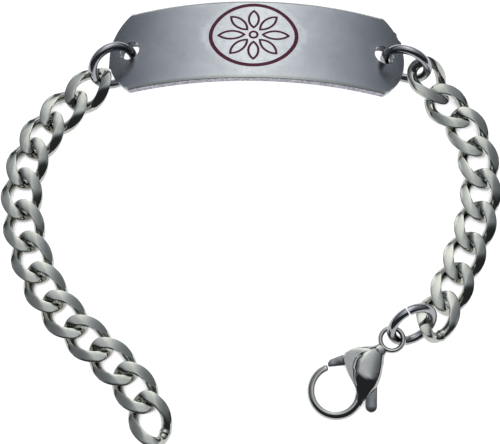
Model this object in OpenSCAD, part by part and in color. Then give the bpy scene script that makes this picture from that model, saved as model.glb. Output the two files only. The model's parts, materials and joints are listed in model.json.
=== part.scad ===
// Identity bracelet of dark polished steel: a curved plate, two lengths of flat curb chain and a
// lobster clasp. It lies open on a table, plate at the back, +Y away from the wearer, +Z up.
// The origin is on the table, under the middle of the whole.

/* [Plate] */
// Outer radius of the plate's curve
plate_r = 59; // [56:0.5:62]
// Thickness of the plate
plate_t = 1.3; // [1.2:0.05:1.4]
// Width of the plate
plate_w = 16; // [15.6:0.1:16.4]
// Distance from tip to tip, straight across
plate_l = 50.2; // [50:0.1:50.6]
// Radius of the rounded ends
plate_end_r = 10; // [9.5:0.1:10.5]
// Width of the bevel round the long edges
plate_bevel = 0.3; // [0.1:0.05:0.35]
// Distance between the two holes, straight across
hole_span = 43; // [42.9:0.05:43.1]
// Diameter of each hole
hole_d = 3.4; // [3.35:0.05:3.5]
// Height of the line between the plate's tips above the table, where the jump rings carry it
plate_lift = 2.1; // [2.05:0.05:2.15]
// Tilt of the plate as it lies: its near edge is the higher one
plate_roll = 15; // [14:0.5:16]

/* [Emblem] */
// Length of the oval frame
oval_l = 15; // [14:0.5:16]
// Width of the oval frame
oval_w = 13.2; // [12.6:0.2:13.4]
// Radius of the frame's ends
oval_end_r = 5.1; // [4.8:0.1:5.4]
// Width of the frame's line
frame_line = 0.65; // [0.55:0.05:0.75]
// Width of the petals' line
petal_line = 0.4; // [0.35:0.05:0.45]
// Number of petals
petals = 8; // [6:1:10]
// Width of one petal
petal_w = 2.05; // [1.8:0.05:2.2]
// Depth of the engraved lines
engrave = 0.25; // [0.2:0.05:0.35]

/* [Chain] */
// Length of a link over its outside
link_l = 9.4; // [9.3:0.05:9.5]
// Width of a link over its outside
link_w = 6.95; // [6.9:0.05:7]
// Diameter of a link's wire
link_wire = 1.8; // [1.6:0.05:1.8]
// Distance between the middles of two links
link_pitch = 5.6; // [5.5:0.05:5.65]
// Angle that each end of a link is twisted by
link_twist = 50; // [48:1:52]
// Thickness of the chain over its ground faces
chain_t = 2.3; // [2.1:0.05:2.5]

/* [Jump rings] */
// Wire diameter of the jump rings
ring_wire = 1.5; // [1.3:0.05:1.5]
// Outside diameter of the two rings at the plate
plate_ring_d = 9; // [8.9:0.05:9.1]
// Outside diameter of the ring at the clasp
clasp_ring_d = 8.8; // [8.7:0.05:8.9]
// Width of the split that shows in the clasp's ring
ring_split = 0.35; // [0.1:0.05:0.6]

/* [Clasp] */
// Radius of the middle of the hook's wire
hook_r = 3.95; // [3.9:0.05:4]
// Width of the hook where it leaves the body
hook_root_w = 1.55; // [1.4:0.05:1.6]
// Width of the hook at its tip
hook_tip_w = 1.1; // [1:0.05:1.2]
// Thickness of the hook where it leaves the body
hook_root_t = 2.1; // [1.9:0.1:2.2]
// Thickness of the hook at its tip
hook_tip_t = 1.5; // [1.3:0.1:1.6]
// Inside diameter of the eye
eye_d = 2.85; // [2.8:0.05:3]
// Wall of the eye
eye_wall = 0.7; // [0.6:0.05:0.7]
// Height of the eye
eye_t = 1.3; // [1.1:0.1:1.4]
// Thickness of the lever
lever_t = 1.3; // [1.1:0.05:1.35]
// Diameter of the pin that the lever turns on
pin_d = 1; // [0.8:0.1:1.2]

/* [Hidden] */
left_links = 13;
right_links = 9;
function link_name(side, i) = str("link_", side, "_", i < 10 ? "0" : "", i);

$fn = 96;
gap = 0.01;

// The middle of the whole footprint in the plan that the places below are given in
plan_middle = [0.204, -0.148];

// Place of the plate's middle and its turn on the table
plate_place = [1.155, 27.61];
plate_turn = -1;
emblem_off = [-0.6, 0.65];

// Each jump ring: its centre, the tilt of its plane, and the direction that it leans to
left_ring = [[-23.06, 26.265, 4.113], 61, -60];
right_ring = [[26.275, 26.395, 4.4], 75.5, -110.2];
clasp_ring_place = [[25.94, -18.03, 3.95], 61, -65];
// Where the split sits on the clasp's ring
split_at = 174;

// The end links are tipped by the rings they hang on: centre, then roll, pitch and direction
left_end_link = [[-27.22, 22.815, 2.1], [1.6, 13.3, -140]];
right_end_link = [[30.61, 23.83, 2.797], [-17, 19.4, -49.8]];
clasp_end_link = [[30.35, -16.2, 2.06], [3.5, -12, -115]];
// The links between them lie flat: middle of the first, and the direction of each
left_start = [-31.5, 19.3];
left_dir = [-136, -122, -106, -90, -78, -70, -60, -48, -41, -43, -54, -72];
right_start = [33.77, 19.76];
right_dir = [-45.5, -66, -83, -96, -109, -113, -114];

// The clasp's own frame: origin in the middle of its hook, +X to its eye
clasp_place = [13.7, -28.35, 1.5];
clasp_dir = 41.75;
clasp_tip_up = 7;
eye_x = 12.2;
pivot = [6.5, 1];
lever_play = 0.1;
pin_play = 0.05;

function unit(a) = [cos(a), sin(a)];
function polar(r, a) = [r * cos(a), r * sin(a)];
function norm_v(v) = v / norm(v);
function spow(x, e) = sign(x) * pow(abs(x), e);
function mix(a, b, t) = a + (b - a) * t;

// Middle of flat link i of a chain: half a pitch along the link before it and half along its own
function link_at(start, dirs, i) =
    i == 0 ? start
           : link_at(start, dirs, i - 1) + link_pitch / 2 * (unit(dirs[i - 1]) + unit(dirs[i]));

// A skin over rings of points that all have the same count. A loop joins the last to the first.
module skin(rings, loop = false) {
    n = len(rings);
    m = len(rings[0]);
    last = loop ? n - 1 : n - 2;
    sides = [for (i = [0:last], j = [0:m - 1])
        let (k = (i + 1) % n, l = (j + 1) % m)
            [i * m + j, i * m + l, k * m + l, k * m + j]];
    triangles = [for (q = sides) each [[q[0], q[1], q[2]], [q[0], q[2], q[3]]]];
    caps = loop ? [] : [[for (j = [m - 1:-1:0]) j], [for (j = [0:m - 1]) (n - 1) * m + j]];
    polyhedron([for (r = rings) each r], concat(triangles, caps));
}

// Curb link
link_steps = 28;
wire_sides = 8;
link_square = 2.3;
link_a = (link_l - link_wire) / 2;
link_b = (link_w - link_wire) / 2;

// Middle of the wire at angle t: an oval whose two ends are twisted opposite ways
function link_path(t) =
    let (x = link_a * spow(cos(t), 2 / link_square),
         w = link_b * spow(sin(t), 2 / link_square),
         a = link_twist * x / link_a)
    [x, w * cos(a), -w * sin(a)];

// One ring of points round the wire, ground off flat at the chain's two faces
function wire_ring(t, step) =
    let (along = norm_v(link_path(t + step) - link_path(t - step)),
         side = norm_v(cross(along, [0, 0, 1])),
         up = cross(side, along),
         r = link_wire / 2,
         face = chain_t / 2)
    [for (k = [0:wire_sides - 1])
        let (a = 360 * (k + 0.5) / wire_sides,
             p = link_path(t) + r * (cos(a) * side + sin(a) * up))
        [p[0], p[1], max(-face, min(face, p[2]))]];

module link() {
    step = 360 / link_steps;
    color([0.5, 0.5, 0.49])
        skin([for (i = [0:link_steps - 1]) wire_ring((i + 0.5) * step, step / 2)], loop = true);
}

module flat_link(start, dirs, i) {
    c = link_at(start, dirs, i);
    translate([c[0], c[1], chain_t / 2]) rotate([0, 0, dirs[i]]) link();
}

module tipped_link(place) {
    translate(place[0]) rotate(place[1]) link();
}

// Left chain: link 1 hangs on the plate's ring, the rest lie flat to the free end
module left_link(i) {
    if (i == 1) tipped_link(left_end_link);
    else flat_link(left_start, left_dir, i - 2);
}

// Right chain: link 1 hangs on the plate's ring, the last one on the clasp's ring
module right_link(i) {
    if (i == 1) tipped_link(right_end_link);
    else if (i == right_links) tipped_link(clasp_end_link);
    else flat_link(right_start, right_dir, i - 2);
}

// Plate
tip_angle = asin(plate_l / 2 / plate_r);
hole_angle = asin(hole_span / 2 / plate_r);
end_angle = tip_angle - 3;
tip_height = (plate_r - plate_t) * cos(tip_angle);

// The plate's curve is a round hoop about the Y axis, so its children are drawn about that axis
module at_plate() {
    translate([plate_place[0], plate_place[1], plate_lift]) rotate([-plate_roll, 0, plate_turn])
        translate([0, 0, -tip_height]) children();
}

// A hoop round the curve's own axis, which lies along Y
module hoop(r_in, r_out, w, bevel = 0) {
    rotate([90, 0, 0]) rotate_extrude($fn = 180)
        polygon([[r_in, -w / 2 + bevel], [r_in + bevel, -w / 2], [r_out - bevel, -w / 2],
                 [r_out, -w / 2 + bevel], [r_out, w / 2 - bevel], [r_out - bevel, w / 2],
                 [r_in + bevel, w / 2], [r_in, w / 2 - bevel]]);
}

// The outline of one rounded end, cut square to the curve near the tip
module end_cut(side) {
    low = 8;
    reach = 90;
    tip = plate_r * sin(tip_angle - end_angle);
    rotate([0, 0, side > 0 ? 0 : 180]) rotate([0, end_angle, 0]) translate([0, 0, low])
        linear_extrude(plate_r) {
            translate([tip - plate_end_r, 0]) circle(plate_end_r);
            translate([tip - plate_end_r - reach, -plate_end_r]) square([reach, 2 * plate_end_r]);
        }
}

module plate_hole(side) {
    rotate([0, side * hole_angle, 0]) translate([0, 0, plate_r - 2 * plate_t])
        cylinder(h = 3 * plate_t, d = hole_d);
}

module plate() {
    color([0.45, 0.47, 0.5]) at_plate() difference() {
        intersection() {
            hoop(plate_r - plate_t, plate_r, plate_w, plate_bevel);
            end_cut(1);
            end_cut(-1);
        }
        plate_hole(1);
        plate_hole(-1);
        intersection() {
            translate([emblem_off[0], emblem_off[1], plate_r / 2]) linear_extrude(plate_r) emblem(0);
            hoop(plate_r - engrave, plate_r + 1, plate_w);
        }
    }
}

// Emblem: an oval frame of four arcs round a rosette of pointed petals
oval_side_r = (pow(oval_l / 2 - oval_end_r, 2) + pow(oval_w / 2, 2) - pow(oval_end_r, 2))
              / (oval_w - 2 * oval_end_r);
oval_end_x = oval_l / 2 - oval_end_r;
oval_side_y = oval_side_r - oval_w / 2;
oval_join_x = oval_end_x * oval_side_r / (oval_side_r - oval_end_r);
rosette_margin = 1.35;
rosette_hub_r = 1.25;
centre_ring_r = 0.85;

module oval(inset) {
    for (s = [-1, 1]) translate([s * oval_end_x, 0]) circle(oval_end_r - inset);
    intersection() {
        intersection_for(s = [-1, 1]) translate([0, s * oval_side_y]) circle(oval_side_r - inset);
        square([2 * oval_join_x * (oval_side_r - inset) / oval_side_r, oval_w], center = true);
    }
}

module vesica(l, w, inset) {
    r = (l * l + w * w) / (4 * w);
    intersection() {
        translate([0, r - w / 2]) circle(r - inset);
        translate([0, w / 2 - r]) circle(r - inset);
    }
}

// Reach of the rosette at angle a, so that its tips follow the oval
function rosette_r(a) =
    let (p = oval_l / 2 - rosette_margin, q = oval_w / 2 - rosette_margin)
    p * q / norm([q * cos(a), p * sin(a)]);

module emblem(inset) {
    difference() {
        oval(inset);
        oval(frame_line - inset);
    }
    for (i = [0:petals - 1])
        let (a = 360 * i / petals, r = rosette_r(a), l = r - rosette_hub_r)
        rotate(a) translate([rosette_hub_r + l / 2, 0]) difference() {
            vesica(l, petal_w, inset);
            vesica(l, petal_w, petal_line - inset);
        }
    difference() {
        circle(centre_ring_r - inset);
        circle(centre_ring_r - petal_line + inset);
    }
}

module emblem_enamel() {
    enamel_top = 0.04;
    color([0.3, 0.05, 0.1]) at_plate() intersection() {
        translate([emblem_off[0], emblem_off[1], plate_r / 2]) linear_extrude(plate_r) emblem(gap);
        hoop(plate_r - engrave + gap, plate_r - enamel_top, plate_w);
    }
}

// Jump rings
module ring(d) {
    color([0.38, 0.38, 0.38])
        rotate_extrude() translate([(d - ring_wire) / 2, 0]) circle(d = ring_wire, $fn = 48);
}

module at_ring(place) {
    translate(place[0]) rotate([0, place[1], place[2]]) children();
}

module plate_ring_left() {
    at_ring(left_ring) ring(plate_ring_d);
}

module plate_ring_right() {
    at_ring(right_ring) ring(plate_ring_d);
}

module clasp_ring() {
    at_ring(clasp_ring_place) difference() {
        ring(clasp_ring_d);
        rotate([0, 0, split_at]) translate([0, -ring_split / 2, -ring_wire])
            cube([clasp_ring_d, ring_split, 2 * ring_wire]);
    }
}

// Clasp
module at_clasp() {
    translate(clasp_place) rotate([0, -clasp_tip_up, clasp_dir]) children();
}

// Sections of the clasp's body from the eye to the hook: a point on its front edge, a point on
// its back edge, and its thickness there
//   front x, front y, back x, back y, thickness
body_sections = [
    [10.4, 0.85, 10.4, -0.85, 1.2],
    [9.6, 1.15, 9.6, -1.15, 1.6],
    [9.0, 1.55, 9.2, -1.45, 2.2],
    [8.2, 2.15, 8.6, -2.0, 2.9],
    [7.2, 2.9, 7.95, -2.55, 3.5],
    [6.3, 3.3, 7.1, -3.15, 3.9],
    [5.4, 3.5, 6.25, -3.6, 4.1],
    [4.65, 3.45, 5.55, -3.9, 4.1],
    [4.15, 3.0, 4.95, -4.1, 4.0],
    [3.85, 2.2, 4.45, -4.15, 3.8],
    [3.45, 1.2, 4.0, -4.2, 3.5],
    [3.15, 0.2, 3.6, -4.25, 3.2],
    [2.95, -0.7, 3.3, -4.3, 2.9],
    [2.65, -1.6, 3.0, -4.35, 2.6],
    [2.2, -2.3, 2.7, -4.4, 2.35]];
body_sides = 16;
body_square = 2.3;
body_ridge = 0.25;

hook_from = -63;
hook_to = -288;
hook_steps = 18;

// A section between two points of the clasp's plane: rounded, its ridge nearer the back
function section(front, back, t, ridge) =
    let (mid = (front + back) / 2, half = (front - back) / 2)
    [for (k = [0:body_sides - 1])
        let (a = 360 * (k + 0.5) / body_sides,
             u = spow(cos(a), 2 / body_square),
             p = mid + half * (u - ridge * (1 - u * u)))
        [p[0], p[1], t / 2 * spow(sin(a), 2 / body_square)]];

function hook_section(f) =
    let (a = mix(hook_from, hook_to, f),
         ease = pow(f, 0.6),
         w = mix(hook_root_w, hook_tip_w, ease),
         t = mix(hook_root_t, hook_tip_t, ease))
    section(polar(hook_r - w / 2, a), polar(hook_r + w / 2, a), t, 0);

// The last sections close the hook's tip in a rounded end
function hook_tip(f, s) =
    let (a = hook_to - f, w = hook_tip_w * s)
    section(polar(hook_r - w / 2, a), polar(hook_r + w / 2, a), hook_tip_t * s, 0);

module hook_and_body() {
    skin(concat(
        [for (s = body_sections)
            section([s[0], s[1]], [s[2], s[3]], s[4], body_ridge * min(1, max(0, s[4] - 2.2)))],
        [for (i = [0:hook_steps]) hook_section(i / hook_steps)],
        [hook_tip(4, 0.85), hook_tip(6, 0.5)]));
}

module eye() {
    hub = eye_t - eye_wall;
    translate([eye_x, 0, 0]) rotate_extrude() translate([(eye_d + eye_wall) / 2, 0]) {
        square([eye_wall, hub], center = true);
        for (s = [-1, 1]) translate([0, s * hub / 2]) circle(d = eye_wall, $fn = 32);
    }
}

// Room for the lever, open at the front edge for the gate and at the back edge for the tail
module lever_slot() {
    slot_t = lever_t + 2 * lever_play;
    hub_r = 1.7;
    translate([0, 0, -slot_t / 2]) linear_extrude(slot_t) {
        translate(pivot) circle(hub_r);
        polygon([[2, 4.8], [2.7, 4.45], [4.85, 3.6], [7.1, 2.55], [8.2, 1.2], [8.4, -3],
                 [7.6, -7.5], [0.5, -7.5], [1.55, -5.1], [4.6, -2.05], [4.75, 0.3], [2, 0.3]]);
    }
}

module clasp_body() {
    bore_h = lever_t + 2 * lever_play + 1.7;
    color([0.5, 0.5, 0.5]) at_clasp() difference() {
        union() {
            hook_and_body();
            eye();
        }
        translate([eye_x, 0, -eye_t]) cylinder(h = 2 * eye_t, d = eye_d);
        lever_slot();
        translate([pivot[0], pivot[1], -bore_h / 2]) cylinder(h = bore_h, d = pin_d + 2 * gap);
    }
}

// Lever: the gate that closes the hook, a round hub on the pin, and the thumb tab behind the body
module clasp_lever() {
    hub_r = 1.5;
    tab_r = 0.93;
    tab_place = [2.5, -5.6];
    gate = [[1.72, 3.6], [2.05, 4.1], [2.7, 4.25], [4.75, 3.45], [7.1, 2.1], [5.9, 0], [3.7, 2.15]];
    tail = [[2.2, -4.7], [3.4, -5.9], [6.05, -3.2], [7.55, -0.6], [7.6, 1.2], [5.3, 0.9],
            [4.75, -2.05]];
    color([0.4, 0.4, 0.4]) at_clasp() translate([0, 0, -lever_t / 2]) difference() {
        union() {
            translate(pivot) cylinder(h = lever_t, r = hub_r);
            translate(tab_place) cylinder(h = lever_t, r = tab_r);
            linear_extrude(lever_t) polygon(gate);
            linear_extrude(lever_t) polygon(tail);
        }
        translate([pivot[0], pivot[1], -1]) cylinder(h = lever_t + 2, d = pin_d + 2 * pin_play);
    }
}

module clasp_pin() {
    pin_h = lever_t + 2 * lever_play + 1.6;
    color([0.35, 0.35, 0.35]) at_clasp() translate([pivot[0], pivot[1], -pin_h / 2])
        cylinder(h = pin_h, d = pin_d);
}

translate([-plan_middle[0], -plan_middle[1], 0]) {
    plate();
    emblem_enamel();
    plate_ring_left();
    plate_ring_right();
    for (i = [1:left_links])
        left_link(i);
    for (i = [1:right_links])
        right_link(i);
    clasp_ring();
    clasp_body();
    clasp_lever();
    clasp_pin();
}
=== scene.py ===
# %% [markdown]
# # An identity bracelet in dark polished steel
#
# A curved plate with an enamelled emblem hangs between two lengths of flat curb chain. Jump rings join the
# parts, and a lobster clasp closes the bracelet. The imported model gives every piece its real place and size,
# so this lesson reads the places off that model and then makes each piece again as a jeweller sees it, with
# rounded edges, ground faces and a worn polish.

# %% Load the frame
import json
import math
import bmesh
import bpy
import numpy as np
from mathutils import Matrix, Vector, geometry

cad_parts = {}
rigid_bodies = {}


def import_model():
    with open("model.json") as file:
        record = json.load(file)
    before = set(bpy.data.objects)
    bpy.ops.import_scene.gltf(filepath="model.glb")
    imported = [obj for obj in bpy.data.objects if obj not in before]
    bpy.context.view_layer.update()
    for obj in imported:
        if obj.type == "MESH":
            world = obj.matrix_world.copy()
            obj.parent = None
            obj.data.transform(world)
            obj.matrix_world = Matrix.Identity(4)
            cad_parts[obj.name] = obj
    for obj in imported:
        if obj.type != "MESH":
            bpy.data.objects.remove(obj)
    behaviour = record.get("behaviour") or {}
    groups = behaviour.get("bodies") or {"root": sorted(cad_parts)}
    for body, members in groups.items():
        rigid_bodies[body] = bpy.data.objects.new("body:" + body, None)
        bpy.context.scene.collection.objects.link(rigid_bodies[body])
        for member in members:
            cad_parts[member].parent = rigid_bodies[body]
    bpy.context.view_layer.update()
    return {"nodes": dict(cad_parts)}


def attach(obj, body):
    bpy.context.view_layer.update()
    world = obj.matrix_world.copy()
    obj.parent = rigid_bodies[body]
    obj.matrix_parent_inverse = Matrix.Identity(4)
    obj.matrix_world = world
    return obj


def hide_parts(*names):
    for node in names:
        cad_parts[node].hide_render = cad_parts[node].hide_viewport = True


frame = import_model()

MM = 0.001
print("nodes in the frame:", len(frame["nodes"]))

# %% [markdown]
# ## Camera
#
# The photograph looks down on the table, 15 degrees off straight down, through a long lens from close by. A
# constraint could point the camera at a target, but one turn about X does the same and reads easily. The
# camera comes first, because all later choices are judged through it.

# %% Camera
LOOK_AT = (-0.204, 0.148, 0.0)
VIEW_TILT = math.radians(15.0)
VIEW_DISTANCE = 212.0
PHOTO_WIDTH = 500
FOCAL_PIXELS = 1272.0
SENSOR = 36.0


def add_object(name, data):
    thing = bpy.data.objects.new(name, data)
    bpy.context.scene.collection.objects.link(thing)
    return thing


camera = add_object("camera", bpy.data.cameras.new("camera"))
camera.data.sensor_width = SENSOR
camera.data.lens = FOCAL_PIXELS / PHOTO_WIDTH * SENSOR
camera.data.clip_start = 0.01
camera.rotation_euler = (VIEW_TILT, 0.0, 0.0)
away = Vector((0.0, -math.sin(VIEW_TILT), math.cos(VIEW_TILT)))
camera.location = (Vector(LOOK_AT) + VIEW_DISTANCE * away) * MM
bpy.context.scene.camera = camera
print("lens %.1f mm at %.0f mm" % (camera.data.lens, VIEW_DISTANCE))

# %% [markdown]
# ## Reading a piece's place off the frame
#
# A link is the same when it is turned half round about any of its three axes, so the main directions of its
# corners are its own axes. Each place could be typed in, but it could then drift away from the solid that it
# stands for, and a measured one can't.

# %% Places of links
def corners(node):
    """The separate corners of a CAD node, in millimetres."""
    flat = np.array([v.co for v in frame["nodes"][node].data.vertices], float) / MM
    return np.unique(np.round(flat, 4), axis=0)


def main_axes(points):
    """Columns: the longest, the middle and the shortest direction of some points."""
    spread = np.linalg.eigh(np.cov((points - points.mean(0)).T))[1][:, ::-1]
    if np.linalg.det(spread) < 0:
        spread[:, 2] *= -1
    return spread


def placing(axes, centre):
    """A matrix that takes a piece from about zero to its place in metres."""
    m = np.identity(4)
    m[:3, :3] = axes
    m[:3, 3] = centre * MM
    return Matrix(m.tolist())


def link_place(node):
    """A link's place, with its polished face up and its welded end towards the viewer."""
    points = corners(node)
    axes = main_axes(points)
    if axes[2, 2] < 0:
        axes[:, 1:] *= -1
    if axes[1, 0] > 0:
        axes[:, :2] *= -1
    return placing(axes, points.mean(0))


print("the first left link is at", link_place("link_left_01").translation)

# %% [markdown]
# A jump ring lies in a plane, and a circle fitted to its corners gives its middle. Their mean would do for a
# whole ring, but not for an open one. The widest step between corners shows where it is open.

# %% Places of rings
def ring_place(node):
    """The ring's place, and the angle of its widest opening."""
    points = corners(node)
    axes = main_axes(points)
    flat = (points - points.mean(0)) @ axes
    rows = np.c_[2 * flat[:, :2], np.ones(len(flat))]
    fit = np.linalg.lstsq(rows, (flat[:, :2] ** 2).sum(1), rcond=None)[0]
    turns = np.sort(np.arctan2(flat[:, 1] - fit[1], flat[:, 0] - fit[0]))
    steps = np.diff(np.r_[turns, turns[0] + 2 * math.pi])
    opening = turns[steps.argmax()] + steps.max() / 2
    return placing(axes, points.mean(0) + axes[:, 0] * fit[0] + axes[:, 1] * fit[1]), opening


print("the clasp's ring is at", ring_place("clasp_ring")[0].translation)

# %% [markdown]
# ## Small mesh helpers
#
# Every piece is drawn in millimetres, which suit Blender's tools, and is scaled at the end. Modifiers could
# smooth the pieces, but here the mesh itself says what is sharp: only an edge where faces meet at a real
# corner, so that ground faces stay flat and round wires round.

# %% Mesh helpers
SHARP_ANGLE = math.radians(28)


def finish_mesh(bm, name, sharp=SHARP_ANGLE):
    """Turns a bmesh in millimetres into a mesh in metres, smooth between its sharp edges."""
    bmesh.ops.recalc_face_normals(bm, faces=bm.faces)
    bmesh.ops.scale(bm, vec=(MM, MM, MM), verts=bm.verts)
    for face in bm.faces:
        face.smooth = True
    for edge in bm.edges:
        edge.smooth = edge.is_manifold and edge.calc_face_angle(0.0) < sharp
    mesh = bpy.data.meshes.new(name)
    bm.to_mesh(mesh)
    bm.free()
    return mesh


def place_piece(mesh, name, materials, nodes, place, body="bracelet"):
    """Puts a mesh in the scene as the piece that stands for some CAD nodes."""
    piece = add_object(name, mesh)
    if not mesh.materials:
        for material in materials:
            mesh.materials.append(material)
    piece.matrix_world = place
    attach(piece, body)
    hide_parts(*nodes)
    return piece


def skin(rings, closed):
    """A bmesh with faces over rings of points, from each ring to the next."""
    bm = bmesh.new()
    rows = [[bm.verts.new(p) for p in ring] for ring in rings]
    count = len(rows[0])
    for a, b in zip(rows, rows[1:] + rows[:1] if closed else rows[1:]):
        for j in range(count):
            k = (j + 1) % count
            bm.faces.new((a[j], a[k], b[k], b[j]))
    if not closed:
        bm.faces.new(list(reversed(rows[0])))
        bm.faces.new(rows[-1])
    return bm


def full_turn(count, first=0.0):
    """Angles at equal steps, once round."""
    return (np.arange(count) + first) * 2 * math.pi / count


def spow(x, e):
    """A power that keeps the sign: it makes a circle squarer."""
    return np.sign(x) * np.abs(x) ** e


print("corners of %.0f degrees or more stay sharp" % math.degrees(SHARP_ANGLE))

# %% [markdown]
# ## Finishes that several metals share
#
# Polished steel is never one flat grey. A picture of real metal would blur close up and repeat, while
# patterns computed in the material stay sharp. Each effect is a node group that gives out values only, so
# each metal takes it in its own strength, while the shader stays in the material.

# %% Node helpers
def new_group(name, numbers, result):
    """A node group that takes a vector and some numbers with defaults, and gives one number."""
    group = bpy.data.node_groups.new(name, "ShaderNodeTree")
    group.interface.new_socket("Vector", in_out="INPUT", socket_type="NodeSocketVector")
    for label, value in numbers.items():
        socket = group.interface.new_socket(label, in_out="INPUT", socket_type="NodeSocketFloat")
        socket.default_value = value
    group.interface.new_socket(result, in_out="OUTPUT", socket_type="NodeSocketFloat")
    print("node group:", name)
    return group, group.nodes.new("NodeGroupInput").outputs, group.nodes.new("NodeGroupOutput").inputs[0]


def add(tree, kind, values=(), **settings):
    """A node with its settings and its sockets' values: a value, or a socket to link from."""
    node = tree.nodes.new("ShaderNode" + kind)
    for key, value in settings.items():
        setattr(node, key, value)
    for key, value in dict(values).items():
        if isinstance(value, bpy.types.NodeSocket):
            tree.links.new(value, node.inputs[key])
        else:
            node.inputs[key].default_value = value
    return node


# The three helpers below give back the socket of their result.
def maths(tree, operation, first, second=None):
    values = {0: first} if second is None else {0: first, 1: second}
    return add(tree, "Math", values, operation=operation).outputs[0]


def remap(tree, value, low=0.0, high=1.0, first=0.0, last=1.0, kind="LINEAR"):
    return add(tree, "MapRange", {"Value": value, "From Min": low, "From Max": high, "To Min": first,
                                  "To Max": last}, interpolation_type=kind).outputs[0]


def noise(tree, vector, scale, detail, rough=0.5, distortion=0.0):
    return add(tree, "TexNoise", {"Vector": vector, "Scale": scale, "Detail": detail,
                                  "Roughness": rough, "Distortion": distortion}).outputs[0]


# %% [markdown]
# Handling leaves faint clouds on a polish. They could be painted, but a broad noise does it. It is stretched
# about its middle, so that it gives 0 where the polish is fresh and 1 where it is fully dulled.

# %% Handling clouds
handling_clouds, take, give = new_group("handling_clouds", {"Scale": 300.0, "Contrast": 0.5}, "Dull")
broad = noise(handling_clouds, take["Vector"], take["Scale"], 4.0, 0.55, 0.4)
low = maths(handling_clouds, "SUBTRACT", 0.5, take["Contrast"])
high = maths(handling_clouds, "ADD", 0.5, take["Contrast"])
handling_clouds.links.new(remap(handling_clouds, broad, low, high), give)

# %% [markdown]
# The last polishing stroke leaves hair scratches, all one way. A wave texture would look ruled, so a noise
# is squeezed across and stretched a long way along the local X axis.

# %% Hair scratches
hair_scratches, take, give = new_group("hair_scratches", {"Across": 9000.0, "Along": 250.0}, "Line")
scale = add(hair_scratches, "CombineXYZ", {"X": take["Along"], "Y": take["Across"], "Z": take["Across"]})
stretched = add(hair_scratches, "VectorMath", {0: take["Vector"], 1: scale.outputs[0]},
                operation="MULTIPLY")
hair_scratches.links.new(noise(hair_scratches, stretched.outputs[0], 1.0, 3.0, 0.6), give)

# %% [markdown]
# Skin and cloth rub the edges bright. The line could be painted by hand, but Pointiness finds outward edges
# from the mesh alone, and a fine noise breaks it up, as real wear does.

# %% Rubbed edges
rubbed_edges, take, give = new_group("rubbed_edges", {"Start": 0.505, "End": 0.56}, "Edge")
shape = add(rubbed_edges, "NewGeometry")
worn = remap(rubbed_edges, shape.outputs["Pointiness"], take["Start"], take["End"])
patches = noise(rubbed_edges, take["Vector"], 1500.0, 2.0)
rubbed_edges.links.new(maths(rubbed_edges, "MULTIPLY", worn, patches), give)

# %% [markdown]
# ## The metals
#
# One function makes each steel: a dark base colour, a polish that the clouds dull and the scratches break
# up, and brighter rubbed edges. Each metal could have its own tree, but the trees would drift apart. The
# links share one mesh, so Blender's random number for each object shifts the pattern from link to link.

# %% Steel
CLOUD_SCALE, CLOUD_CONTRAST = 260.0, 0.22
LINE_STRETCH = 0.03
RUBBED_LIGHT = 1.35
GRAIN = (0.3, 0.7, 0.85, 1.2)


def mix_colours(tree, factor, first, second):
    """A colour between two others. Each is a colour's three numbers or a socket."""
    node = tree.nodes.new("ShaderNodeMix")
    node.data_type = "RGBA"
    tree.links.new(factor, node.inputs[0])
    for place, colour in ((6, first), (7, second)):
        if isinstance(colour, bpy.types.NodeSocket):
            tree.links.new(colour, node.inputs[place])
        else:
            node.inputs[place].default_value = (*colour, 1.0)
    return node.outputs[2]


def new_material(name, settings):
    """A material, its tree and its shader, with the shader's constant values set."""
    material = bpy.data.materials.new(name)
    material.use_nodes = True
    shader = material.node_tree.nodes["Principled BSDF"]
    for key, value in settings.items():
        shader.inputs[key].default_value = value
    print("material:", name)
    return material, material.node_tree, shader


def add_relief(tree, shader, height, strength, distance):
    """Lets a pattern tilt the light, as a relief of that depth would."""
    bump = add(tree, "Bump", {"Strength": strength, "Distance": distance, "Height": height})
    tree.links.new(bump.outputs[0], shader.inputs["Normal"])


def make_steel(name, dark, light, smooth, dull, lines, line_depth):
    """A polished steel between two colours, with its roughness between smooth and dull."""
    material, tree, shader = new_material(name, {"Metallic": 1.0})
    where = add(tree, "TexCoord")
    each = add(tree, "ObjectInfo")
    shift = add(tree, "VectorMath", {0: where.outputs["Object"], 1: each.outputs["Random"]},
                operation="ADD")
    clouds = add(tree, "Group", {"Vector": shift.outputs[0], "Scale": CLOUD_SCALE,
                                 "Contrast": CLOUD_CONTRAST}, node_tree=handling_clouds)
    hairs = add(tree, "Group", {"Vector": shift.outputs[0], "Across": lines,
                                "Along": lines * LINE_STRETCH}, node_tree=hair_scratches)
    edges = add(tree, "Group", {"Vector": shift.outputs[0]}, node_tree=rubbed_edges)
    tone = mix_colours(tree, clouds.outputs["Dull"], light, dark)
    rubbed = mix_colours(tree, edges.outputs["Edge"], tone, [min(1.0, c * RUBBED_LIGHT) for c in light])
    tree.links.new(rubbed, shader.inputs["Base Color"])
    rough = remap(tree, clouds.outputs["Dull"], first=smooth, last=dull)
    grain = remap(tree, hairs.outputs["Line"], *GRAIN)
    tree.links.new(maths(tree, "MULTIPLY", rough, grain), shader.inputs["Roughness"])
    add_relief(tree, shader, hairs.outputs["Line"], line_depth, 0.00002)
    return material


# %% [markdown]
# The chain and the clasp are tumbled to a dark mirror with a trace of yellow. The rings are bluer and a
# little duller. The lever and the plate's face are left satin. Separate calls would do, but a table shows
# the metals side by side.

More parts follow.
